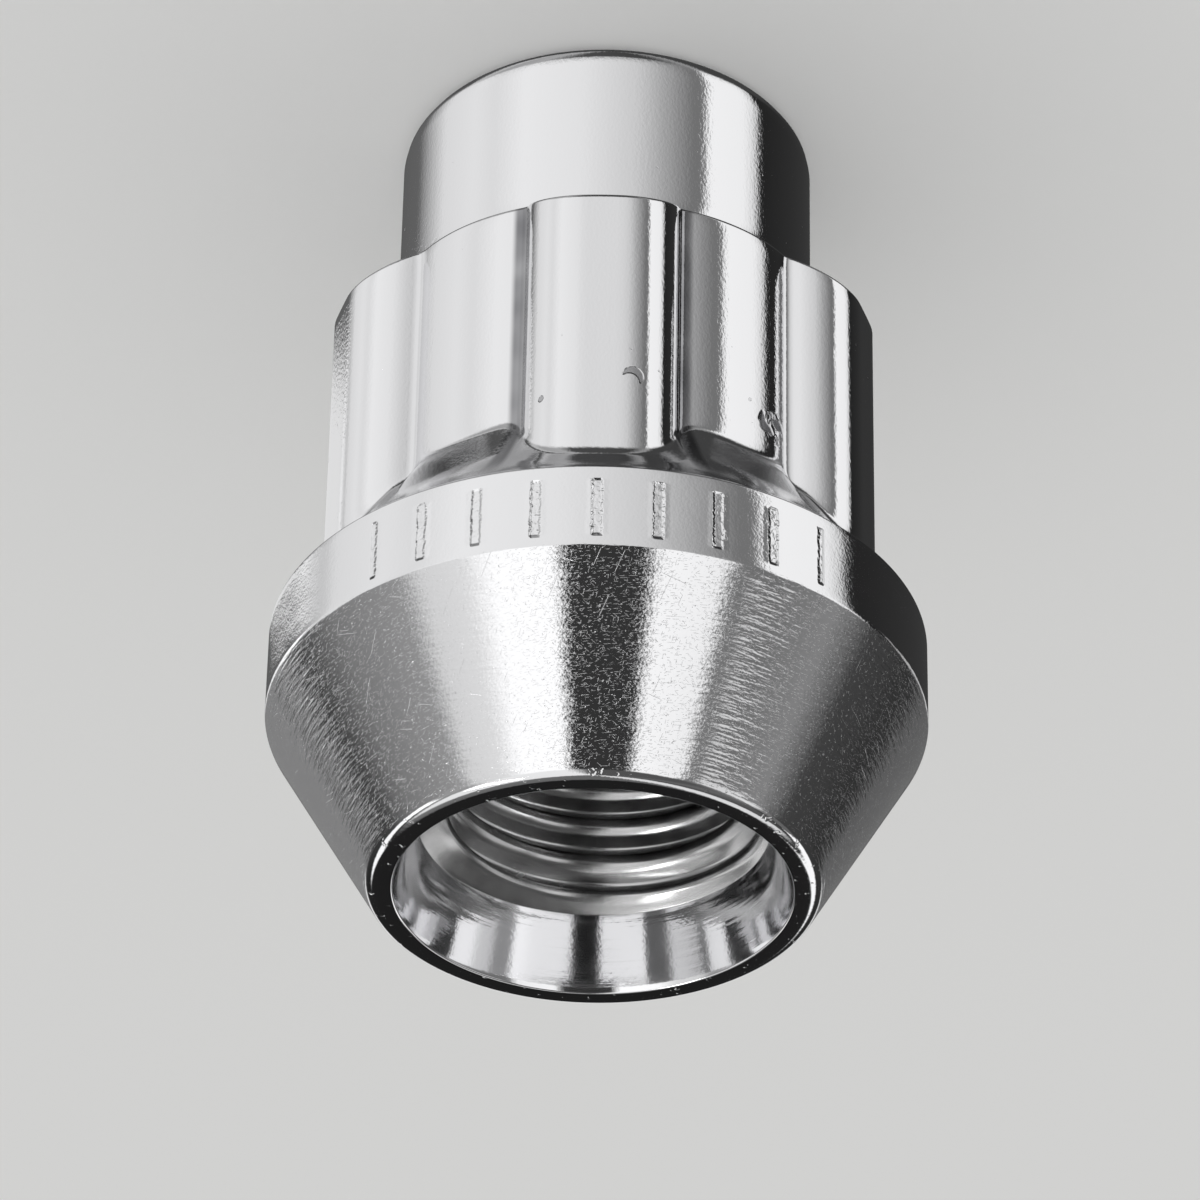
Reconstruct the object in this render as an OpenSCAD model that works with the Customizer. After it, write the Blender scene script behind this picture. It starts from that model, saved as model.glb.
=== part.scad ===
// Closed-end wheel lug nut with a five-rib drive, a cone seat and a blind threaded bore.
// The nut stands on its closed end: the origin is the centre of that end face, and +Z runs
// along the axis to the threaded mouth. One drive rib faces -Y. Sizes are millimetres.

/* [Overall] */
// Length from the closed end to the mouth face
total_l = 31.6; // [30:0.1:40]

/* [Closed end] */
// Diameter of the plain cylinder at the closed end
end_d = 15.2; // [14:0.1:16]
// Length from the closed end to the outer edge of the drive shoulder
end_l = 8.8; // [6:0.1:10]
// Radius of the rounded edge of the closed end
end_edge_r = 0.7; // [0.2:0.1:2]

/* [Drive] */
// Diameter over the rib crowns
drive_d = 20; // [18.6:0.1:21]
// Number of ribs round the drive
rib_count = 5; // [5:1:6]
// Width of a rib
rib_w = 5.4; // [4.6:0.1:5.8]
// Radius of the two rounded corners of a rib crown
rib_corner_r = 2.05; // [0.8:0.05:2.2]
// Diameter over the shallow faces between the ribs
face_d = 16.8; // [16.2:0.1:17.4]
// Radius of the crown of a face
face_crown_r = 6; // [5:0.1:8.1]
// Radius of the hollow corner where a rib meets a face
root_r = 0.35; // [0.15:0.05:0.5]
// Slope of the shoulder, measured from a plane square to the axis
shoulder_angle = 32; // [0:1:40]

/* [Flange] */
// Diameter of the flange band
flange_d = 23.4; // [22.6:0.1:26]
// Width of the flange band along the axis
flange_w = 3.4; // [2:0.1:4.5]
// Edge break on both edges of the flange band
flange_break = 0.2; // [0.05:0.05:0.4]
// Radius of the hollow flare between the drive and the flange band
flare_r = 11.5; // [10:0.5:16]
// Slope of the flare where it starts at the flange band
flare_angle = 40; // [25:1:45]

/* [Seat] */
// Included angle of the cone seat
seat_angle = 60; // [56:1:90]
// Diameter of the seat where it would meet the mouth face in a sharp edge
rim_d = 15.6; // [15.2:0.1:17]
// Radius of the rounded edge between the seat and the mouth face
rim_edge_r = 0.45; // [0.1:0.05:0.6]

/* [Bore] */
// Minor diameter of the M12 x 1.5 thread
thread_minor_d = 10.38; // [9.8:0.01:10.8]
// Depth of the threaded wall from the mouth face
thread_depth = 25.5; // [16:0.1:26.5]
// Diameter of the tapered counterbore at the mouth
sink_mouth_d = 13.94; // [13.2:0.02:14.2]
// Diameter of the counterbore at its floor
sink_floor_d = 12.4; // [11.8:0.1:13]
// Depth of the counterbore
sink_depth = 2.8; // [1:0.1:4]
// Angle of the lead-in at the first thread, measured from the axis
lead_angle = 60; // [45:1:70]
// Included angle of the drill point at the blind end
drill_angle = 118; // [110:1:140]

/* [Hidden] */
$fn = 96;

end_r = end_d/2;
drive_r = drive_d/2;
face_r = face_d/2;
flange_r = flange_d/2;
rim_r = rim_d/2;
thread_r = thread_minor_d/2;
sink_mouth_r = sink_mouth_d/2;
sink_floor_r = sink_floor_d/2;

// Heights along the axis, worked back from the mouth
seat_half = seat_angle/2;
seat_z = total_l - (flange_r - rim_r)/tan(seat_half);
flange_z = seat_z - flange_w;
bore_z = total_l - thread_depth;
sink_z = total_l - sink_depth;
lead_h = (sink_floor_r - thread_r)/tan(lead_angle);
drill_h = thread_r/tan(drill_angle/2);

// Where the hollow flare starts at the flange band, and the centre of its arc, in radius and height
flare_top_r = flange_r - flange_break;
flare_c = [flare_top_r + flare_r*sin(flare_angle), flange_z - flare_r*cos(flare_angle)];

// Distance from the rounded rim edge's tangent points to the sharp corner
rim_reach = rim_edge_r*tan((90 - seat_half)/2);

// Drive section, with one rib along +Y
rib_pitch = 360/rib_count;
corner_c = [rib_w/2 - rib_corner_r, drive_r - rib_corner_r];
face_c = (face_r - face_crown_r)*[sin(rib_pitch/2), cos(rib_pitch/2)];

// Overlap that lets cutters run clear of the faces they cut
clear = 1;
// How far a hollow corner laps into its rib and its face, so that their arcs cross cleanly
root_lap = 0.002;

// The point on the left of the way from a to b, at ra from a and at rb from b
function meet(a, ra, b, rb) =
    let (gap = norm(b - a), along = (b - a)/gap, side = [-along[1], along[0]])
    let (reach = (ra*ra - rb*rb + gap*gap)/(2*gap))
    a + reach*along + sqrt(ra*ra - reach*reach)*side;

// Centre of the root radius: beside the straight flank, or beside the crown's corner if the face is high
root_gap = root_r - root_lap;
root_x = rib_w/2 + root_gap;
root_flank = [root_x, face_c[1] + sqrt(pow(face_crown_r + root_gap, 2) - pow(root_x - face_c[0], 2))];
root_on_flank = root_flank[1] <= corner_c[1];
root_c = root_on_flank ? root_flank : meet(corner_c, rib_corner_r + root_gap, face_c, face_crown_r + root_gap);
root_start = root_on_flank ? [0, root_c[1]] : corner_c;

// One rib: a bar with a crown rounded at both corners
module rib_section() {
    translate([-rib_w/2, 0]) square([rib_w, corner_c[1]]);
    translate([-corner_c[0], 0]) square([2*corner_c[0], drive_r]);
    for (side = [-1, 1])
        translate([side*corner_c[0], corner_c[1]]) circle(r = rib_corner_r);
}

// The hollow corner on the right of a rib
module root_section() {
    difference() {
        polygon([root_start, root_c, face_c]);
        translate(root_c) circle(r = root_r);
    }
}

// The whole drive section: ribs, crowned faces and the corners between them
module drive_section() {
    for (i = [0:rib_count - 1])
        rotate(i*rib_pitch) {
            rib_section();
            root_section();
            mirror([1, 0]) root_section();
            translate(face_c) circle(r = face_crown_r);
        }
}

// Half section of the cylinder at the closed end, with its rounded edge
module end_half() {
    translate([0, end_edge_r]) square([end_r, flange_z - end_edge_r]);
    square([end_r - end_edge_r, end_edge_r + clear]);
    translate([end_r - end_edge_r, end_edge_r]) circle(r = end_edge_r);
}

// Half section that trims the drive's end to the sloping shoulder
module shoulder_half() {
    polygon([
        [0, end_l - drive_r*tan(shoulder_angle)],
        [drive_r + clear, end_l + clear*tan(shoulder_angle)],
        [drive_r + clear, flange_z + clear],
        [0, flange_z + clear]
    ]);
}

// Half section of the hollow flare that carries the drive into the flange
module flare_half() {
    difference() {
        translate([0, flare_c[1]]) square([flare_top_r, flange_z + flange_break - flare_c[1]]);
        translate(flare_c) circle(r = flare_r);
    }
}

// Half section of the flange band, the cone seat and the rounded rim
module flange_half() {
    polygon([
        [0, flange_z],
        [flare_top_r, flange_z],
        [flange_r, flange_z + flange_break],
        [flange_r, seat_z - flange_break],
        [flange_r - flange_break*tan(seat_half), seat_z + flange_break],
        [rim_r + rim_reach*sin(seat_half), total_l - rim_reach*cos(seat_half)],
        [rim_r - rim_reach, total_l],
        [0, total_l]
    ]);
    translate([rim_r - rim_reach, total_l - rim_edge_r]) circle(r = rim_edge_r);
}

// Half section of the blind bore: drill point, threaded wall, lead-in and tapered counterbore
module bore_half() {
    polygon([
        [0, bore_z - drill_h],
        [thread_r, bore_z],
        [thread_r, sink_z - lead_h],
        [sink_floor_r, sink_z],
        [sink_mouth_r, total_l],
        [sink_mouth_r, total_l + clear],
        [0, total_l + clear]
    ]);
}

// The nut, forged and turned in one piece
module nut_body() {
    color("silver")
    difference() {
        union() {
            rotate_extrude() end_half();
            intersection() {
                rotate(180) linear_extrude(height = flange_z + clear) drive_section();
                rotate_extrude() shoulder_half();
            }
            rotate_extrude() flare_half();
            rotate_extrude() flange_half();
        }
        rotate_extrude() bore_half();
    }
}

nut_body();
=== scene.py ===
# %% [markdown]
# A chrome wheel lug nut, dressed for a close-up.
#
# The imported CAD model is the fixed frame: it says where the nut is and how big it is. This
# lesson builds one finer surface over it, with the thread turns and the soft edges that a
# plated nut has, gives every zone of that surface its own finish, and then lights it.

# %% Load the frame
import math

import bmesh
import bpy
import numpy as np
from mathutils import Matrix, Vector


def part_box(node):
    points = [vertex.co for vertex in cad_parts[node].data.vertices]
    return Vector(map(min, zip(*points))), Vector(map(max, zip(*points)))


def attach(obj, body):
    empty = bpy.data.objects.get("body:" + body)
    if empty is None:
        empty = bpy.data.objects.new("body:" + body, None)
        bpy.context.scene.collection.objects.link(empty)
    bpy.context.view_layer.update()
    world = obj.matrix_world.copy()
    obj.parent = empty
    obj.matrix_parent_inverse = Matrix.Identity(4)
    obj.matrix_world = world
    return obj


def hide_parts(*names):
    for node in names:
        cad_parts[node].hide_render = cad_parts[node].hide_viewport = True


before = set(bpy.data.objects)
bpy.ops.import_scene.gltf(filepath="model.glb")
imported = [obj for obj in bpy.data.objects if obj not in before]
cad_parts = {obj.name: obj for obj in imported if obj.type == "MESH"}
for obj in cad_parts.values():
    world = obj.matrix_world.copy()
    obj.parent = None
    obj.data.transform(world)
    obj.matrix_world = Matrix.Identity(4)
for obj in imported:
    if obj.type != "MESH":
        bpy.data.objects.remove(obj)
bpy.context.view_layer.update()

# %% [markdown]
# The sizes below are the nut's own, in millimetres, as a turner would read them off a drawing.
# Everything else in the mesh is worked out from them. The CAD node gives the overall length and
# width, so the surface can't drift away from the solid.

# %% Sizes of the nut
MM = 0.001
node_low, node_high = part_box("nut_body")
TOTAL_L = (node_high[2] - node_low[2])/MM
FLANGE_R = (node_high[0] - node_low[0])/2/MM
END_R = 7.6
END_L = 8.8
DRIVE_R = 10.0
RIB_COUNT = 5
RIB_W = 5.4
RIB_CORNER_R = 2.05
FACE_R = 8.4
FACE_CROWN_R = 6.0
ROOT_R = 0.35
SHOULDER_SLOPE = math.tan(math.radians(32))
FLANGE_W = 3.4
FLANGE_BREAK = 0.2
FLARE_R = 11.5
FLARE_ANGLE = math.radians(40)
SEAT_HALF = math.radians(30)
RIM_R = 7.8
MINOR_R = 5.19
MAJOR_R = 6.0
PITCH = 1.5
THREAD_DEPTH = 25.5
SINK_MOUTH_R = 6.97
SINK_FLOOR_R = 6.2
SINK_DEPTH = 2.8
LEAD_ANGLE = math.radians(60)
DRILL_HALF = math.radians(59)

seat_z = TOTAL_L - (FLANGE_R - RIM_R)/math.tan(SEAT_HALF)
flange_z = seat_z - FLANGE_W
sink_z = TOTAL_L - SINK_DEPTH
bore_z = TOTAL_L - THREAD_DEPTH
print(f"length {TOTAL_L:.2f} mm, flange radius {FLANGE_R:.2f} mm")
print(f"flange band from {flange_z:.2f} to {seat_z:.2f} mm")

# %% [markdown]
# The drive is what a key grips. Seen along the axis it has five ribs with round shoulders, a
# crowned face between each pair, and a small hollow corner where they meet. It could be cut with
# booleans, but every ray from the axis meets the section once, so the whole outline is simply a
# radius for each angle. That also makes it easy to put more columns where the outline turns fast.

# %% Circles met by a ray from the axis
RIB_PITCH = 2*math.pi/RIB_COUNT
corner_c = np.array([RIB_W/2 - RIB_CORNER_R, DRIVE_R - RIB_CORNER_R])
face_c = (FACE_R - FACE_CROWN_R)*np.array([math.sin(RIB_PITCH/2), math.cos(RIB_PITCH/2)])


def far_hit(angle, centre, radius):
    """Where a ray from the axis leaves a circle: c cos(d) + sqrt(r^2 - c^2 sin^2(d)), or 0 if it
    misses. Here c is how far the circle's centre is from the axis, and d its angle from the ray."""
    reach = np.hypot(*centre)
    turn = angle - np.arctan2(*centre)
    inside = radius**2 - (reach*np.sin(turn))**2
    distance = reach*np.cos(turn) + np.sqrt(np.maximum(inside, 0))
    return np.where((inside > 0) & (np.cos(turn) > 0), distance, 0)


def near_hit(angle, centre, radius):
    """Where a ray from the axis enters a circle: c cos(d) - sqrt(r^2 - c^2 sin^2(d))."""
    reach = np.hypot(*centre)
    turn = angle - np.arctan2(*centre)
    return reach*np.cos(turn) - np.sqrt(np.maximum(radius**2 - (reach*np.sin(turn))**2, 0))


def root_centre():
    """The point that is ROOT_R clear of both the rib's corner circle and the face's circle."""
    gap = face_c - corner_c
    length = np.hypot(*gap)
    along = gap/length
    side = np.array([-along[1], along[0]])
    to_rib = RIB_CORNER_R + ROOT_R
    to_face = FACE_CROWN_R + ROOT_R
    reach = (to_rib**2 - to_face**2 + length**2)/(2*length)
    return corner_c + reach*along + math.sqrt(to_rib**2 - reach**2)*side


root_c = root_centre()
touch_rib = corner_c + (root_c - corner_c)*RIB_CORNER_R/(RIB_CORNER_R + ROOT_R)
touch_face = face_c + (root_c - face_c)*FACE_CROWN_R/(FACE_CROWN_R + ROOT_R)
print("hollow corner centred", np.round(root_c, 2), "mm from the axis, beside a rib that points up")

# %% The drive section as a radius for each angle
FINE_STEPS = 40000
COLUMNS = 320
TURN_WEIGHT = 0.5


def drive_radius(angle):
    """Radius of the drive at an angle from the middle of a rib: the outermost of the rib's flat
    crown, its corner circle and the face's circle, with the hollow corner in between."""
    turn = np.abs((angle + RIB_PITCH/2) % RIB_PITCH - RIB_PITCH/2)
    crown = np.where(DRIVE_R*np.tan(turn) <= corner_c[0], DRIVE_R/np.cos(turn), 0)
    radius = np.maximum(crown, far_hit(turn, corner_c, RIB_CORNER_R))
    radius = np.maximum(radius, far_hit(turn, face_c, FACE_CROWN_R))
    in_root = (turn > np.arctan2(*touch_rib)) & (turn < np.arctan2(*touch_face))
    return np.where(in_root, near_hit(turn, root_c, ROOT_R), radius)


def spread_columns(count, turn_weight):
    """Angles from -pi, spaced evenly in a mix of outline length and how far the outline turns."""
    fine = np.linspace(-np.pi, np.pi, FINE_STEPS + 1)
    radius = drive_radius(fine)
    x = radius*np.sin(fine)
    y = radius*np.cos(fine)
    heading = np.unwrap(np.arctan2(np.gradient(y), np.gradient(x)))
    step = np.hypot(np.diff(x), np.diff(y)) + turn_weight*np.abs(np.diff(heading))
    run = np.concatenate([[0], np.cumsum(step)])
    return np.interp(np.arange(count)/count*run[-1], run, fine)


angles = spread_columns(COLUMNS, TURN_WEIGHT)
drive_r = drive_radius(angles)
print(f"drive radius from {drive_r.min():.2f} to {drive_r.max():.2f} mm over {COLUMNS} columns")

# %% [markdown]
# From the side, the nut is a chain of straight walls with small rounds between them. The helper
# below takes such a chain and returns rows of points, rounding each corner with a true arc. The
# chain is worked out for every column at once, so the ribs can run into the flare at a height of
# their own. Each corner also names the zone that starts there, for the finishes later on.

# %% Rounded chains of points
ZONES = ["plate", "band", "seat", "rim", "sink", "thread"]
ARC_POINTS = 5


def corner_arc(before, point, after, rounding):
    """Points on the arc that rounds a corner: C + (sin((1-t)w) a + sin(t w) b)/sin(w), where a and
    b run from the arc's centre C to the points where it touches the two walls."""
    back = (before - point)/np.hypot(*(before - point))
    ahead = (after - point)/np.hypot(*(after - point))
    half = np.arccos(np.clip((back*ahead).sum(0), -1, 1))/2
    middle = back + ahead
    centre = point + middle/np.hypot(*middle)*rounding/np.sin(half)
    first = point + back*rounding/np.tan(half) - centre
    last = point + ahead*rounding/np.tan(half) - centre
    sweep = np.pi - 2*half
    steps = np.linspace(0, 1, ARC_POINTS)
    return [centre + (np.sin((1 - t)*sweep)*first + np.sin(t*sweep)*last)/np.sin(sweep) for t in steps]


def rounded_chain(corners):
    """Rows of (radius, height) along a chain of corners, and each row's zone. A corner is (radius,
    height, round, steps, zone): steps is how many evenly spaced rows split the wall after it."""
    points = [np.stack([c[0] + angles*0, c[1] + angles*0]) for c in corners]
    arcs = []
    for i, corner in enumerate(corners):
        if corner[2]:
            arcs.append(corner_arc(points[i - 1], points[i], points[i + 1], corner[2]))
        else:
            arcs.append([points[i]])
    rows = []
    zones = []
    for i, (arc, corner) in enumerate(zip(arcs, corners)):
        wall = []
        if i + 1 < len(arcs):
            step = (arcs[i + 1][0] - arc[-1])/(corner[3] + 1)
            wall = [arc[-1] + step*k for k in range(1, corner[3] + 1)]
        rows += arc + wall
        zones += [ZONES.index(corner[4])]*(len(arc) + len(wall))
    return np.array(rows), np.array(zones)


# %% [markdown]
# The hollow flare leads from the drive to the flange band. On the solid it is an arc turned round
# the axis. Here each column gets the stretch of that arc from its own drive wall up to the band, so a
# rib joins the flare higher up than a face does.

# %% The flare as an arc
FLARE_STEPS = 12
flare_top_r = FLANGE_R - FLANGE_BREAK
flare_c = [flare_top_r + FLARE_R*math.sin(FLARE_ANGLE), flange_z - FLARE_R*math.cos(FLARE_ANGLE)]
first_swing = np.arccos((flare_c[0] - drive_r)/FLARE_R)
last_swing = math.pi/2 - FLARE_ANGLE
swings = [first_swing + (last_swing - first_swing)*t for t in np.linspace(0, 1, FLARE_STEPS + 1)]
flare = [(flare_c[0] - FLARE_R*np.cos(s), flare_c[1] + FLARE_R*np.sin(s)) for s in swings]
meeting_z = flare[0][1]
print(f"drive walls meet the flare from {meeting_z.min():.2f} to {meeting_z.max():.2f} mm")

# %% [markdown]
# The grooves beside the ribs would cut into the flare with a sharp end. Forging and plating leave no
# such end, so the heights where the walls meet the flare are smoothed round the nut first.

# %% Soft ends for the grooves
BLEND_TURN = math.radians(2.4)
BLEND_STEPS = 4096


def blended(height):
    """Heights round the nut, smoothed with a bell curve exp(-(angle/BLEND_TURN)^2/2)."""
    even = np.linspace(-np.pi, np.pi, BLEND_STEPS, endpoint=False)
    level = np.interp(even, angles, height, period=2*np.pi)
    bell = np.exp(-0.5*(even/BLEND_TURN)**2)
    soft = np.fft.irfft(np.fft.rfft(level)*np.fft.rfft(np.fft.ifftshift(bell/bell.sum())), len(even))
    return np.interp(angles, even, soft, period=2*np.pi)


crease_z = blended(meeting_z)
print(f"smoothed, they run from {crease_z.min():.2f} to {crease_z.max():.2f} mm")

# %% [markdown]
# The outside: closed end, end cylinder, sloping shoulder, drive walls, flare, flange band, cone
# seat, rim and the tapered counterbore, in one chain from the axis to the thread. Plating leaves every
# edge a little round, and the eye finds an edge by the thin line of light there, so each edge gets a
# round of its own. The chain ends on a narrow lip of the lead-in, so that light runs evenly round the
# first thread.

# %% Rounds of the edges
END_CORE_R = 0.6
END_EDGE = 0.7
COLLAR_EDGE = 0.2
SHOULDER_EDGE = 0.2
CREASE_EDGE = 0.9
FLARE_EDGE = 0.06
BAND_EDGE = 0.1
SEAT_EDGE = 0.25
RIM_EDGE = 0.45
MOUTH_EDGE = 0.08
LEAD_EDGE = 0.06
LIP = 0.1
shoulder_z = END_L - (DRIVE_R - drive_r)*SHOULDER_SLOPE
collar_z = END_L - (DRIVE_R - END_R)*SHOULDER_SLOPE
lip_z = sink_z - LIP
lip_r = SINK_FLOOR_R - LIP*math.tan(LEAD_ANGLE)
print(f"collar at {collar_z:.2f} mm, lip of the lead-in {lip_r:.2f} mm from the axis")

# %% The outside and the counterbore
# The crease's round takes the place of the first rows of the flare
CREASE_SKIP = 5
outside = [
    (END_CORE_R, 0.0, 0, 5, "plate"),
    (END_R, 0.0, END_EDGE, 14, "plate"),
    (END_R, collar_z, COLLAR_EDGE, 5, "plate"),
    (drive_r, shoulder_z, SHOULDER_EDGE, 26, "plate"),
    (drive_r, crease_z, CREASE_EDGE, 0, "plate"),
    *[(*point, 0, 0, "plate") for point in flare[CREASE_SKIP:-1]],
    (flare_top_r, flange_z, FLARE_EDGE, 0, "plate"),
    (FLANGE_R, flange_z + FLANGE_BREAK, BAND_EDGE, 12, "band"),
    (FLANGE_R, seat_z, SEAT_EDGE, 26, "seat"),
    (RIM_R, TOTAL_L, RIM_EDGE, 2, "rim"),
    (SINK_MOUTH_R, TOTAL_L, MOUTH_EDGE, 14, "sink"),
    (SINK_FLOOR_R, sink_z, LEAD_EDGE, 0, "thread"),
    (lip_r, lip_z, 0, 0, "thread"),
]
outer_rows, outer_zones = rounded_chain(outside)
print(f"outside: {len(outer_rows)} rows of {COLUMNS} points")

# %% [markdown]
# The thread is a real helix, one turn for each pitch. Rows that lie level would cut across the
# turns and leave their edges ragged, so each row here climbs with the thread: after one full
# turn it arrives where the row one pitch higher started, and the seam is sewn with that shift.
# Rows that would climb past either end of the bore are held at that end.

# %% The thread
PITCH_ROWS = 8
CREST_SHARE = 0.25
ROOT_SHARE = 0.14
turns = math.ceil((sink_z - bore_z)/PITCH)
row_count = (turns + 1)*PITCH_ROWS + 1
row_index = np.arange(row_count)[:, None]
lead = (angles[None, :] + np.pi)/(2*np.pi)*PITCH
thread_z = np.clip(bore_z - PITCH + row_index*PITCH/PITCH_ROWS + lead, bore_z, lip_z)


def thread_radius(share):
    """Radius over one pitch: flat crest at the minor radius, straight flank, flat root, flank back."""
    flank = (1 - CREST_SHARE - ROOT_SHARE)/2
    distance = np.abs((share % 1) - 0.5)
    rise = np.clip((0.5 - CREST_SHARE/2 - distance)/flank, 0, 1)
    return MINOR_R + (MAJOR_R - MINOR_R)*rise


fade = np.clip((thread_z - bore_z)/PITCH, 0, 1)
thread_r = MINOR_R + (thread_radius(row_index/PITCH_ROWS) - MINOR_R)*fade
lead_in = SINK_FLOOR_R - (sink_z - thread_z)*math.tan(LEAD_ANGLE)
thread_r = np.maximum(thread_r, lead_in)
print(f"thread: {turns} turns, {row_count} climbing rows")

# %% [markdown]
# Now the outside and the thread become one mesh. A grid of rows and columns turns into four-sided
# faces with a few lines of index arithmetic, and the closed end and the drill point are closed with
# fans of triangles. Points that lie on each other at the joins are merged, so that the shell is
# watertight.
#
# Every face also gets its zone, as a material number, and a place on a map of the surface: across
# is the distance round the nut from the front, up is the distance along the chain, both in
# millimetres. The map lets scratches run along or round the nut. Its seam is at the back.

# %% Grids, faces and their map
def place(radius, height):
    """Columns at their angle from -Y, turning towards +X; millimetres to metres."""
    turn = np.broadcast_to(angles, radius.shape)
    return np.stack([radius*np.sin(turn), -radius*np.cos(turn), height], -1).reshape(-1, 3)*MM


def grid_faces(rows, shift=0):
    """Row and column of the four corners of every face of a grid that closes on itself, where the
    last column joins the first one shift rows higher."""
    row, column = np.meshgrid(np.arange(rows - 1), np.arange(COLUMNS), indexing="ij")
    lift = np.where(column == COLUMNS - 1, shift, 0)
    face_rows = np.stack([row, row + lift, row + lift + 1, row + 1], -1)
    face_columns = np.stack([column, column + 1, column + 1, column], -1)
    keep = row + lift + 1 < rows
    return face_rows[keep], face_columns[keep]


def map_points(face_rows, face_columns, radius, run):
    """Angle times the row's radius, and the run along the chain, for each corner of each face."""
    around = np.append(angles, angles[0] + 2*np.pi)
    return np.stack([around[face_columns]*radius[face_rows], run[face_rows]], -1).reshape(-1, 2)


outer_count = len(outer_rows)*COLUMNS
outer_at = grid_faces(len(outer_rows))
thread_at = grid_faces(row_count, PITCH_ROWS)
outer_faces = outer_at[0]*COLUMNS + outer_at[1] % COLUMNS
thread_faces = (outer_count + thread_at[0]*COLUMNS + thread_at[1] % COLUMNS)[:, ::-1]

row_r = outer_rows[:, 0].mean(1)
row_step = np.hypot(np.diff(row_r), np.diff(outer_rows[:, 1].mean(1)))
outer_run = np.concatenate([[0], np.cumsum(row_step)])
thread_run = np.arange(row_count)*PITCH/PITCH_ROWS
outer_map = map_points(*outer_at, row_r, outer_run)
thread_map = map_points(thread_at[0][:, ::-1], thread_at[1][:, ::-1], thread_r.mean(1), thread_run)
print(f"{len(outer_faces)} faces outside, {len(thread_faces)} in the thread")

# %% Build the mesh
MERGE_GAP = 0.0002*MM
SLIVER = 0.00001*MM
tip_z = bore_z - MINOR_R/math.tan(DRILL_HALF)
poles = np.array([[0, 0, tip_z], [0, 0, 0]])*MM
vertices = np.concatenate([place(*outer_rows.swapaxes(0, 1)), place(thread_r, thread_z), poles])
ring = np.arange(COLUMNS)
ring_after = (ring + 1) % COLUMNS
tip_index = len(vertices) - 2
tip_fan = np.stack([ring*0 + tip_index, outer_count + ring_after, outer_count + ring], -1)
end_fan = np.stack([ring*0 + tip_index + 1, ring_after, ring], -1)
faces = outer_faces.tolist() + thread_faces.tolist() + tip_fan.tolist() + end_fan.tolist()
face_zones = np.concatenate([
    outer_zones[outer_at[0][:, 0]],
    np.full(len(thread_faces) + COLUMNS, ZONES.index("thread")),
    np.full(COLUMNS, ZONES.index("plate")),
])
fan_map = np.zeros((tip_fan.size + end_fan.size, 2))

nut_mesh = bpy.data.meshes.new("lug_nut")
nut_mesh.from_pydata(vertices, [], faces)
nut_mesh.polygons.foreach_set("material_index", face_zones.astype(np.int32))
surface_map = nut_mesh.uv_layers.new(name="surface_map")
surface_map.data.foreach_set("uv", np.concatenate([outer_map, thread_map, fan_map]).ravel())

shell = bmesh.new()
shell.from_mesh(nut_mesh)
bmesh.ops.remove_doubles(shell, verts=shell.verts, dist=MERGE_GAP)
bmesh.ops.dissolve_degenerate(shell, edges=shell.edges, dist=SLIVER)
bmesh.ops.recalc_face_normals(shell, faces=shell.faces)
open_edges = sum(not edge.is_manifold for edge in shell.edges)
print("open edges:", open_edges, "volume mm3:", round(shell.calc_volume(signed=True)/MM**3))
shell.to_mesh(nut_mesh)
shell.free()
nut_mesh.shade_smooth()
nut_mesh.update()
nut = bpy.data.objects.new("lug_nut", nut_mesh)
bpy.context.scene.collection.objects.link(nut)
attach(nut, "root")
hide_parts("nut_body")
print("triangles:", sum(len(p.vertices) - 2 for p in nut_mesh.polygons))

# %% [markdown]
# Shader graphs are easier to read as sums than as boxes and wires. The class below stands for one
# output socket of a graph: adding or multiplying two of them adds a Math node, and make() adds any
# other node. Numbers that don't change over the surface go straight onto the shader's sockets.

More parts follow.
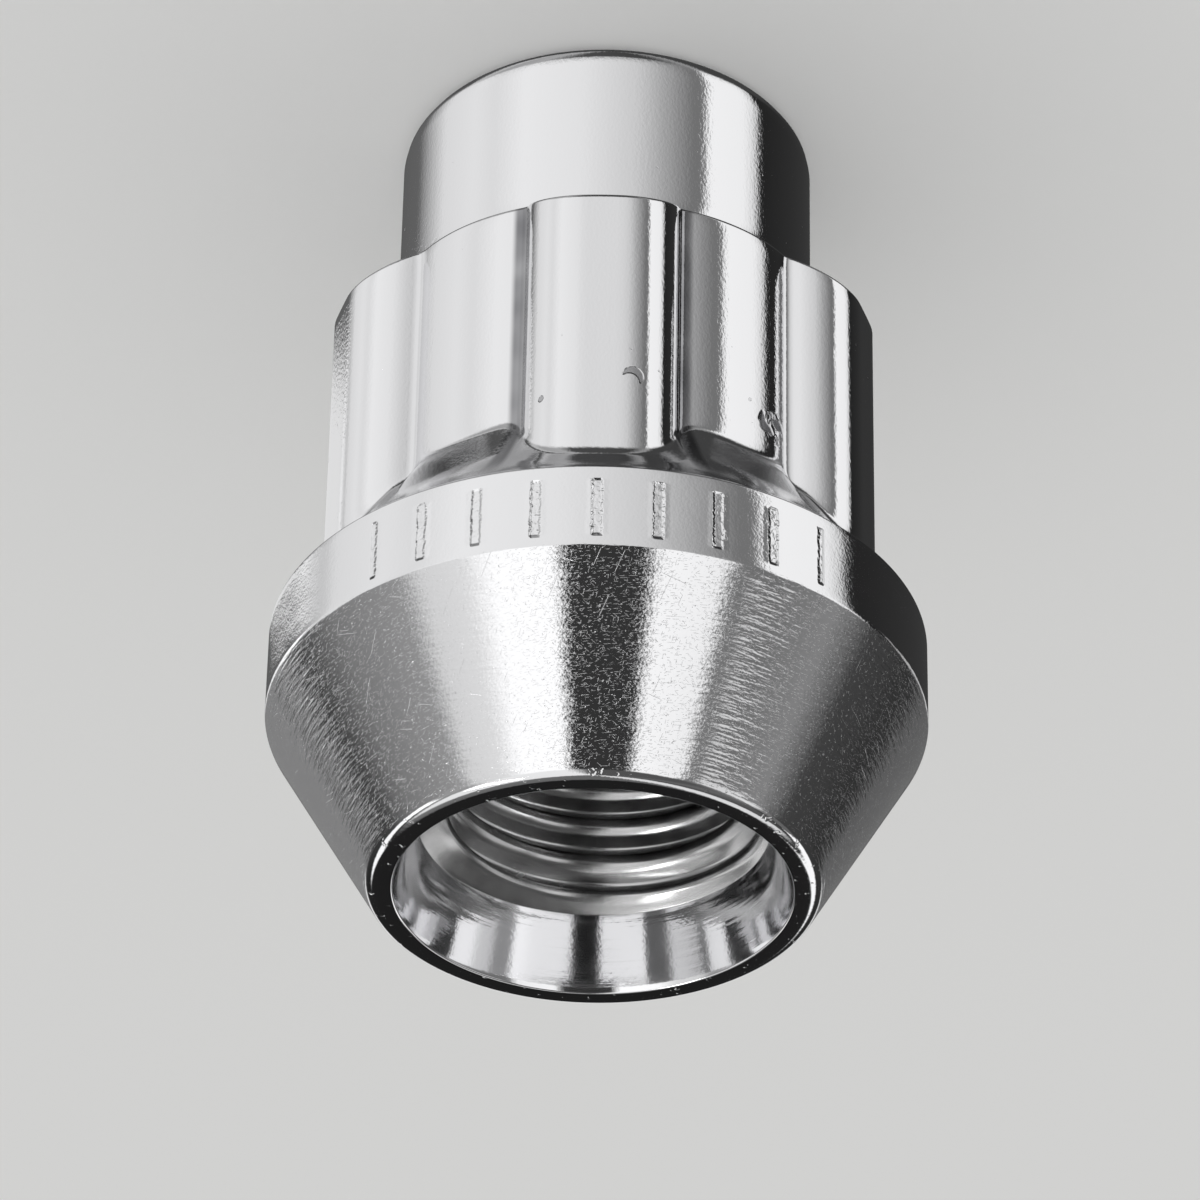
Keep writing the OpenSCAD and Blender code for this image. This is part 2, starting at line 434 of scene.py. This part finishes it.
# %% Shader graphs as expressions
class Wire:
    """One output socket of a node tree."""

    def __init__(self, tree, socket=None):
        self.tree = tree
        self.socket = socket

    def make(self, kind, settings=None, inputs=None, output=0):
        """Adds a node, sets its settings first, then fills its inputs with values or wires."""
        node = self.tree.nodes.new(kind)
        for name, value in (settings or {}).items():
            setattr(node, name, value)
        for name, value in (inputs or {}).items():
            if isinstance(value, Wire):
                self.tree.links.new(value.socket, node.inputs[name])
            else:
                node.inputs[name].default_value = value
        return Wire(self.tree, node.outputs[output])

    def math(self, operation, first, second=0.0):
        """One Math node; most of them are written with the operators below."""
        return self.make("ShaderNodeMath", {"operation": operation}, {0: first, 1: second})

    def __add__(self, other):
        return self.math("ADD", self, other)

    def __radd__(self, other):
        return self.math("ADD", other, self)

    def __sub__(self, other):
        return self.math("SUBTRACT", self, other)

    def __rsub__(self, other):
        return self.math("SUBTRACT", other, self)

    def __mul__(self, other):
        return self.math("MULTIPLY", self, other)

    def __rmul__(self, other):
        return self.math("MULTIPLY", other, self)

    def ease(self, low, high):
        """0 below low, 1 above high, and a smooth step between; the other way round if low > high."""
        limits = {"Value": self, "From Min": low, "From Max": high}
        return self.make("ShaderNodeMapRange", {"interpolation_type": "SMOOTHSTEP"}, limits)

    def noise(self, size, detail=2.0, dimensions="3D"):
        """Cloudy noise whose lumps are about size across, in the units of this vector. On a flat map it
        needs only two dimensions, which renders faster."""
        inputs = {"Vector": self, "Scale": 1/size, "Detail": detail}
        return self.make("ShaderNodeTexNoise", {"noise_dimensions": dimensions}, inputs)

    def stretched(self, turn, lengths, start):
        """This vector turned by an angle, then divided by a length for each direction."""
        inputs = {"Vector": self, "Rotation": (0, 0, turn), "Scale": lengths, "Location": start}
        return self.make("ShaderNodeMapping", {"vector_type": "TEXTURE"}, inputs)

    def near(self, point, reach):
        """1 within about a reach of a point, falling softly to 0 at its edge."""
        gap = self.make("ShaderNodeVectorMath", {"operation": "DISTANCE"}, {0: self, 1: point}, "Value")
        return gap.ease(reach*1.1, reach*0.8)

    def parts(self):
        """The X, Y and Z of this vector."""
        split = self.make("ShaderNodeSeparateXYZ", None, {0: self}).socket.node
        return [Wire(self.tree, split.outputs[axis]) for axis in "XYZ"]


operators = [name.strip("_") for name in dir(Wire) if name.endswith(("add__", "sub__", "mul__"))]
print("a Wire knows the operators", operators)

# %% [markdown]
# All the finishes are one metal, bright chrome on steel, so they share a starting point: a metallic
# shader of one colour. What differs is how smooth the plate is and what has happened to it. Each
# finish below works out a roughness and a height, and the height goes through a Bump node. Heights
# are in millimetres of real surface, so that a scratch is as deep as it says.

# %% A chrome finish
CHROME = (0.8, 0.8, 0.81, 1)
PEAK_START = 0.80
PEAK_FULL = 0.86


class Finish:
    """A chrome material being made: its surface map and its place on the nut, both in millimetres."""

    def __init__(self, name, colour=CHROME):
        self.material = bpy.data.materials.new(name)
        self.material.use_nodes = True
        tree = self.material.node_tree
        self.shader = tree.nodes["Principled BSDF"]
        self.shader.inputs["Base Color"].default_value = colour
        self.shader.inputs["Metallic"].default_value = 1
        start = Wire(tree)
        self.map = start.make("ShaderNodeTexCoord", output="UV")
        metres = start.make("ShaderNodeTexCoord", output="Object")
        to_mm = (1/MM, 1/MM, 1/MM)
        self.place = start.make("ShaderNodeMapping", None, {"Vector": metres, "Scale": to_mm})
        nut_mesh.materials.append(self.material)

    def tint(self, share, colour):
        """Mixes a colour into the chrome, as far as the share says. A Mix node keeps its two colours
        at inputs 6 and 7, and the mixed colour at output 2."""
        mixed = share.make("ShaderNodeMix", {"data_type": "RGBA"}, {0: share, 6: CHROME, 7: colour}, 2)
        self.material.node_tree.links.new(mixed.socket, self.shader.inputs["Base Color"])

    def done(self, roughness, height):
        """Links the roughness, and the height in millimetres through a bump."""
        bump = roughness.make("ShaderNodeBump", None, {"Height": height, "Distance": MM, "Strength": 1.0})
        links = self.material.node_tree.links
        links.new(roughness.socket, self.shader.inputs["Roughness"])
        links.new(bump.socket, self.shader.inputs["Normal"])
        print(f"{self.material.name}: {len(self.material.node_tree.nodes)} nodes")


def scratches(surface, turn, length, width, share, start):
    """Spindle-shaped scratches: noise stretched along one direction, kept where it peaks. A larger
    share lowers the level that counts as a peak, so that more of them are kept."""
    peaks = surface.stretched(turn, (length, width, 1), (start, start/2, 0)).noise(1.0, 0.0)
    return peaks.ease(PEAK_START - share, PEAK_FULL - share)


# %% [markdown]
# Bright plate covers the end cylinder, the drive and the flare. A crescent nick and a speck mark the
# front rib, and a dent sits in the groove to its right in the picture, darkened with painted shade. The
# crescent is one round spot with a second, higher one taken away.

# %% Marks on the bright plate
NICK = (-1.17, -10.0, 16.6)
NICK_R = 0.40
NICK_TOP = (-1.05, -10.0, 16.85)
NICK_TOP_R = 0.36
SPECK = (2.05, -9.45, 17.3)
SPECK_R = 0.13
DENT = (-6.0, -5.7, 15.8)
DENT_R = 0.7

plate = Finish("bright_plate")
crescent = plate.place.near(NICK, NICK_R) - plate.place.near(NICK_TOP, NICK_TOP_R)
nick = crescent.ease(0.1, 0.9) + plate.place.near(SPECK, SPECK_R)
# The dent is a real hollow in the height and roughness, and its dark colour is painted shade.
dent_and_shade = plate.place.near(DENT, DENT_R)*plate.place.noise(0.6, 1.0).ease(0.42, 0.54)
print("marks:", len(plate.material.node_tree.nodes), "nodes so far")

# %% [markdown]
# Painted shade darkens the hollow corners beside the ribs, where shade falls in the folds of the drive.
# The angle from the nearest rib says where those corners are, and most of the shade is painted beside the
# front rib.

# %% Painted shade in the hollow corners
# A dark grey: painted shade in the hollow corners and the dent, and the colour of the nick and the speck.
SHADE_AND_NICK_GREY = (0.16, 0.16, 0.17, 1)
SHADE_TURN = math.radians(2.6)
FRONT_TURN = math.radians(35)
SHADE_ELSEWHERE = 0.15
COLLAR_FADE = 0.2
FLANGE_FADE = 1.5

plate_clouds = plate.place.noise(1.6, 1.0)
plate_x, plate_y, plate_z = plate.place.parts()
plate_turn = plate_x.math("ARCTAN2", plate_x, 0 - plate_y)
off_rib = plate_turn.math("PINGPONG", plate_turn, RIB_PITCH/2)
off_root = off_rib.math("ABSOLUTE", off_rib - math.atan2(*root_c))
above_collar = plate_z.ease(collar_z - COLLAR_FADE, collar_z + COLLAR_FADE)
on_drive = above_collar*plate_z.ease(flange_z, flange_z - FLANGE_FADE)
groove = off_root.ease(SHADE_TURN, SHADE_TURN/3)*on_drive
at_front = plate_turn.math("ABSOLUTE", plate_turn).ease(FRONT_TURN*1.2, FRONT_TURN*0.9)
# Painted shade for the hollow corners, darkest beside the front rib.
painted_shade = groove*(0.55 + plate_clouds*0.5)*(SHADE_ELSEWHERE + at_front*(1 - SHADE_ELSEWHERE))
# The tint paints shade into the hollow corners and the dent, and darkens the nick and the speck.
plate.tint(painted_shade + dent_and_shade*0.9 + nick*0.5, SHADE_AND_NICK_GREY)
print("with corner_shade:", len(plate.material.node_tree.nodes), "nodes")

# %% [markdown]
# Chrome follows every pore of the steel below it, so a mirror edge in it is never quite straight: a
# very fine grain, drawn out a little along the axis, roughens the edges of the reflections. A few
# pores are left open.

# %% Bright plate
GRAIN_DEPTH = 0.0042
DRAWN_DEPTH = 0.0012
PORE_DEPTH = 0.003
NICK_DEPTH = 0.06
DENT_DEPTH = 0.03

plate_grain = plate.place.stretched(0, (1, 1, 1.6), (3, 0, 0)).noise(0.10, 2.0)
drawn = plate.place.stretched(0, (0.5, 0.5, 9), (0, 5, 0)).noise(0.6, 1.0)
pores = plate.place.noise(0.3, 0.0).ease(0.855, 0.88)
plate_height = plate_grain*GRAIN_DEPTH + drawn*DRAWN_DEPTH - pores*PORE_DEPTH
plate_height = plate_height - nick*NICK_DEPTH - dent_and_shade*DENT_DEPTH
plate.done(0.02 + plate_clouds*0.05 + pores*0.3 + nick*0.3 + dent_and_shade*0.25, plate_height)

# %% [markdown]
# The flange band is satin: it was turned, not polished, before it was plated. A row of plain strokes is
# struck into it with a punch, which leaves rough floors and slight burrs. The strokes are drawn on the
# surface map: a zigzag of the distance round the nut says how far each point is from the nearest one.

# %% Strokes on the band
STROKE_GAP = 2.1
STROKE_HALF = 0.16
STROKE_SOFT = 0.06
STROKE_LOW = 0.6
STROKE_HIGH = 2.8
ROW_HALF = 8.4
END_OUT = 0.1
END_IN = 0.05
RAGGED = 0.16
BURR_W = 0.26
band_start = outer_run[np.argmax(outer_zones == ZONES.index("band"))]

band = Finish("satin_band")
around, run = band.map.parts()[:2]
along = run - band_start
ragged = band.place.noise(0.22, 2.0) - 0.5
beside = around.math("PINGPONG", around, STROKE_GAP/2) + ragged*RAGGED
in_row = around.ease(-ROW_HALF - END_OUT, -ROW_HALF)*around.ease(ROW_HALF + END_OUT, ROW_HALF)
in_row = in_row*along.ease(STROKE_LOW - END_OUT, STROKE_LOW + END_IN)
in_row = in_row*along.ease(STROKE_HIGH + END_OUT, STROKE_HIGH - END_IN)
stroke = beside.ease(STROKE_HALF + STROKE_SOFT, STROKE_HALF - STROKE_SOFT)*in_row
burr = beside.ease(STROKE_HALF + BURR_W, STROKE_HALF)*in_row - stroke
print(f"strokes {STROKE_GAP} mm apart, {STROKE_HIGH - STROKE_LOW:.1f} mm long")

# %% Satin band
STROKE_DEPTH = 0.09
FLOOR_RELIEF = 0.05
BURR_HEIGHT = 0.012
MOTTLE_HEIGHT = 0.007

band_grain = band.place.noise(0.10, 2.0)
mottle = band.place.noise(0.9, 2.0)
struck = stroke*(band.place.noise(0.25, 2.0)*FLOOR_RELIEF - STROKE_DEPTH) + burr*BURR_HEIGHT
band_height = band_grain*GRAIN_DEPTH + mottle*MOTTLE_HEIGHT + struck
band.done(0.025 + mottle*0.08 + stroke*0.12, band_height)

# %% [markdown]
# The cone seat is pressed and turned against the wheel each time the nut is tightened, so it carries
# fine rubbed lines that run round it, cuts in a few other directions, and pits. The lines come from
# noise that is long round the nut and short along the cone: they fray the edges of the reflections.

# %% Cuts in the seat
CUT_W = 0.03
DEEP_W = 0.05

seat = Finish("scratched_seat")
rubbed = scratches(seat.map, turn=0.10, length=0.22, width=CUT_W, share=0.10, start=3)
crossed = scratches(seat.map, turn=0.6, length=0.26, width=CUT_W, share=0.05, start=11)
slanted = scratches(seat.map, turn=-0.7, length=0.26, width=CUT_W, share=0.05, start=23)
upright = scratches(seat.map, turn=1.35, length=0.35, width=CUT_W, share=0.03, start=37)
cuts = rubbed + crossed + slanted + upright
deep_up = scratches(seat.map, turn=1.15, length=1.6, width=DEEP_W, share=-0.01, start=51)
deep_round = scratches(seat.map, turn=-0.3, length=2.0, width=DEEP_W, share=-0.01, start=67)
deep = deep_up + deep_round
print("cuts:", len(seat.material.node_tree.nodes), "nodes so far")

# %% Scratched seat
SEAT_GRAIN_DEPTH = 0.0028
TURNED_DEPTH = 0.009
CUT_DEPTH = 0.0011
DEEP_DEPTH = 0.004
PIT_DEPTH = 0.004

seat_grain = seat.map.stretched(0.1, (1.6, 1, 1), (5, 0, 0)).noise(0.08, 1.0, "2D")
turned = seat.map.stretched(0, (1.0, 0.14, 1), (7, 0, 0)).noise(1.0, 1.0, "2D")
pits = seat.place.noise(0.09, 0.0).ease(0.77, 0.83)
seat_clouds = seat.place.noise(1.2, 1.0)
seat_height = seat_grain*SEAT_GRAIN_DEPTH + turned*TURNED_DEPTH
seat_height = seat_height - cuts*CUT_DEPTH - deep*DEEP_DEPTH - pits*PIT_DEPTH
seat.done(0.02 + seat_clouds*0.08 + cuts*0.05 + deep*0.1, seat_height)

# %% [markdown]
# The rim of the mouth is flat and narrow. It was faced on a lathe, and its edges are chipped.

# %% Faced rim
FACED_DEPTH = 0.003
CHIP_DEPTH = 0.012
rim = Finish("faced_rim")
faced = rim.place.noise(0.2, 2.0)
chips = rim.place.noise(0.4, 2.0).ease(0.64, 0.74)
rim.done(0.03 + faced*0.06, faced*FACED_DEPTH - chips*CHIP_DEPTH)

# %% [markdown]
# The counterbore lets the stud start easily. A tool turned it, and left rings that plating softened.

# %% Turned counterbore
RING_DEPTH = 0.003
SINK_GRAIN_DEPTH = 0.0016
sink = Finish("turned_counterbore")
rings = sink.place.stretched(0, (9, 9, 0.16), (2, 0, 0)).noise(1.0, 2.0)
sink_haze = sink.place.noise(1.3, 1.0)
sink_grain = sink.place.noise(0.15, 2.0)
sink.done(0.03 + sink_haze*0.10, rings*RING_DEPTH + sink_grain*SINK_GRAIN_DEPTH)

# %% [markdown]
# Plating hardly reaches into a blind thread, so its flanks are duller than the outside, and their darker
# grey colour is painted shade inside the bore.

# %% Dull thread
THREAD_SHADE_GREY = (0.5, 0.5, 0.5, 1)
THREAD_GRAIN_DEPTH = 0.002
# The grey colour is painted shade inside the bore; the higher roughness is the thread's own dullness.
thread = Finish("dull_thread", THREAD_SHADE_GREY)
thread_haze = thread.place.noise(0.8, 1.0)
thread.done(0.15 + thread_haze*0.16, thread.place.noise(0.2, 1.0)*THREAD_GRAIN_DEPTH)

# %% [markdown]
# The camera looks from the mouth's side, about a third of a right angle above the floor, through
# a long lens. It is turned over, so that the mouth comes out at the bottom of the picture.
#
# The view is given as the eye has it: the angle at which it looks down on the nut and the nut's lean
# in the picture, in radians, and how far the mouth's centre lies to the right, down and ahead, in
# millimetres. From these the nut's own axes are found in the view, and then the eye's place.

# %% Camera
LENS_MM = 180
SENSOR_MM = 36
NEAREST_M = 0.01
VIEW_RISE = 0.582
VIEW_LEAN = -0.019
MOUTH_IN_VIEW = np.array([-0.233, 10.195, 207.97])
rise_c = math.cos(VIEW_RISE)
axis_in_view = np.array([math.sin(VIEW_LEAN)*rise_c, math.cos(VIEW_LEAN)*rise_c, -math.sin(VIEW_RISE)])
right_in_view = np.array([1.0, 0, 0]) - axis_in_view*axis_in_view[0]
right_in_view /= np.linalg.norm(right_in_view)
near_in_view = np.cross(axis_in_view, right_in_view)
nut_axes = np.stack([-right_in_view, -near_in_view, axis_in_view])
eye = nut_axes @ -MOUTH_IN_VIEW + [0, 0, TOTAL_L]
# Blender's camera has its Y upwards and looks along its -Z
picture_axes = nut_axes @ np.diag([1.0, -1.0, -1.0])
camera_data = bpy.data.cameras.new("camera")
camera_data.lens = LENS_MM
camera_data.sensor_width = SENSOR_MM
camera_data.clip_start = NEAREST_M
camera = bpy.data.objects.new("camera", camera_data)
bpy.context.scene.collection.objects.link(camera)
camera.matrix_world = Matrix.Translation(eye*MM) @ Matrix(picture_axes.tolist()).to_4x4()
bpy.context.scene.camera = camera
print("camera at", [round(v, 4) for v in camera.location])

# %% [markdown]
# A mirror shows nothing but the room, so the room is what makes chrome look like chrome. A studio
# would stand white cards and black flags round the nut. Here they are painted into the world by
# direction, as rings of cards, one above the other. Each ring is a list of azimuths, in degrees from
# the front, and the tone there: the colour ramp runs from one to the next.
#
# The upright walls see the low ring, the cone sees the high one, the flare sees what lies below, and the
# thread's flanks see the top. One ring gives way to the next between two elevations.

# %% The rings of cards
DOWN_CARDS = [
    (-180, 0.06), (-115, 0.10), (-100, 0.6), (-80, 0.4), (-45, 0.45), (-20, 0.08), (30, 0.06),
    (60, 0.35), (75, 0.06), (180, 0.06),
]
LOW_CARDS = [
    (-180, 0.10), (-132, 0.14), (-104, 0.84), (-80, 0.92), (-66, 0.86), (-48, 1.0), (-14, 0.93),
    (16, 0.72), (34, 0.42), (50, 0.2), (56, 0.2), (60, 1.08), (84, 1.04), (92, 0.8), (97, 0.02),
    (180, 0.05),
]
HIGH_CARDS = [
    (-180, 0.015), (-150, 0.02), (-112, 0.06), (-96, 0.22), (-68, 0.34), (-60, 0.78), (-46, 0.86),
    (-36, 1.25), (-15, 1.25), (-10, 0.04), (16, 0.04), (21, 1.15), (42, 1.05), (47, 0.2), (60, 0.18),
    (84, 0.27), (100, 0.06), (180, 0.015),
]
TOP_CARDS = [
    (-180, 0.15), (-135, 0.2), (-120, 0.95), (-15, 1.0), (-4, 0.1), (60, 0.1), (80, 0.16), (110, 0.1),
    (132, 0.1), (138, 0.8), (168, 0.9), (174, 0.15), (180, 0.15),
]
LOW_EDGE = (-56, -44)
HIGH_EDGE = (-7, 3)
TOP_EDGE = (38, 46)

world = bpy.data.worlds.new("studio")
world.use_nodes = True
room = Wire(world.node_tree)
room_x, room_y, room_z = room.make("ShaderNodeTexCoord", output="Generated").parts()
azimuth = room.math("ARCTAN2", 0 - room_x, 0 - room_y)*(0.5/math.pi) + 0.5
elevation = room.math("ARCSINE", room_z)*(180/math.pi)


def card_ring(stops):
    """A ramp round the nut: each stop is an azimuth in degrees, 0 at the front, and a tone."""
    ramp = room.make("ShaderNodeValToRGB", None, {"Fac": azimuth})
    ramp_stops = ramp.socket.node.color_ramp.elements
    while len(ramp_stops) < len(stops):
        ramp_stops.new(0.5)
    for stop, (degrees, tone) in zip(ramp_stops, stops):
        stop.position = degrees/360 + 0.5
        stop.color = (tone, tone, tone, 1)
    return ramp


cards = card_ring(DOWN_CARDS)
for ring_cards, edge in [(LOW_CARDS, LOW_EDGE), (HIGH_CARDS, HIGH_EDGE), (TOP_CARDS, TOP_EDGE)]:
    share = elevation.ease(*edge)
    cards = cards*(1 - share) + card_ring(ring_cards)*share
print("stacked rings:", len(world.node_tree.nodes), "nodes")

# %% [markdown]
# Four shorter rings hang in front of those, between two elevations. One is for the mouth, where light
# bounces twice before it leaves. One gives the drive a bright left edge. One is a small hot card that
# throws a white spark on each turn of the thread. The last one stands behind the nut, so that it looks
# as bright from the back. A black flag leans across that one, where the cone's edges would mirror it,
# because a cone with dark edges looks rounder.
#
# Four elevations give the span of each ring: where it starts and is full, and where it fades and ends.

# %% Short rings of cards
MOUTH_CARDS = [
    (-180, 0.0), (-158, 0.0), (-153, 1.15), (-90, 1.15), (-84, 0.1), (-60, 0.0), (50, 0.0), (56, 0.6),
    (88, 0.6), (94, 0.1), (118, 0.1), (122, 1.15), (170, 1.15), (174, 0.0),
]
DRIVE_CARDS = [(-180, 0.1), (-165, 0.7), (-126, 0.72), (-112, 0.0), (175, 0.0), (180, 0.1)]
SPARK_CARDS = [(-180, 0.0), (-83, 0.0), (-81, 10.0), (-69, 10.0), (-67, 0.0)]
REAR_CARDS = [(-180, 0.8), (-116, 0.9), (-110, 0.0), (110, 0.0), (116, 0.4), (140, 0.6), (180, 0.8)]
MOUTH_SPAN = (20, 25, 34, 37)
DRIVE_SPAN = (-36.0, -35.2, -33.2, -32.9)
SPARK_SPAN = (48, 50, 68, 70)
REAR_SPAN = (-30, -28, -9, -4)
FLAG_START = 119
FLAG_SLOPE = 0.54
FLAG_EDGE = (4, 8)
FLAG_TONE = 0.15


def between(start, full, fades, end):
    """1 between two elevations in degrees, with a soft edge at either end."""
    return elevation.ease(start, full)*elevation.ease(end, fades)


cards = cards + card_ring(MOUTH_CARDS)*between(*MOUTH_SPAN)
cards = cards + card_ring(DRIVE_CARDS)*between(*DRIVE_SPAN)
cards = cards + card_ring(SPARK_CARDS)*between(*SPARK_SPAN)
from_front = azimuth.math("ABSOLUTE", azimuth - 0.5)*360
above_flag = elevation + (from_front - FLAG_START)*FLAG_SLOPE
beside_flag = above_flag.math("ABSOLUTE", above_flag).ease(*FLAG_EDGE)*(1 - FLAG_TONE) + FLAG_TONE
cards = cards + card_ring(REAR_CARDS)*between(*REAR_SPAN)*beside_flag
print("with the short rings:", len(world.node_tree.nodes), "nodes")

# %% [markdown]
# Only reflected rays see the cards. All other rays get an even pale light, so the floor stays plain and
# the nut has a soft shadow.

# %% The even light
EVEN_LIGHT = 0.8
reflected = room.make("ShaderNodeLightPath", output="Is Glossy Ray")
even = room.make("ShaderNodeBackground", None, {"Color": (1, 1, 1, 1), "Strength": EVEN_LIGHT})
shown = room.make("ShaderNodeBackground", None, {"Color": cards})
light = room.make("ShaderNodeMixShader", None, {0: reflected, 1: even, 2: shown})
world.node_tree.links.new(light.socket, world.node_tree.nodes["World Output"].inputs["Surface"])
world.cycles.sampling_method = "NONE"
bpy.context.scene.world = world
print("world:", len(world.node_tree.nodes), "nodes")

# %% [markdown]
# The nut stands on a plain pale floor. Polished metal would mirror that floor as one flat grey, so the
# floor is hidden from reflected rays, and the chrome sees the cards below it instead.

# %% Floor
FLOOR_HALF = 1.0
FLOOR_PALE = (0.8, 0.8, 0.79, 1)
floor_mesh = bpy.data.meshes.new("floor")
floor_corners = np.array([(-1, -1, 0), (1, -1, 0), (1, 1, 0), (-1, 1, 0)])*FLOOR_HALF
floor_mesh.from_pydata(floor_corners, [], [(0, 1, 2, 3)])
floor_paint = bpy.data.materials.new("pale_floor")
floor_paint.use_nodes = True
floor_shader = floor_paint.node_tree.nodes["Principled BSDF"]
floor_shader.inputs["Base Color"].default_value = FLOOR_PALE
floor_shader.inputs["Roughness"].default_value = 0.9
floor_shader.inputs["Specular IOR Level"].default_value = 0.0
floor_mesh.materials.append(floor_paint)
floor = bpy.data.objects.new("floor", floor_mesh)
bpy.context.scene.collection.objects.link(floor)
floor.visible_glossy = False
bpy.context.scene.view_settings.view_transform = "Standard"
print(f"floor {2*FLOOR_HALF:.0f} m square")

# %% [markdown]
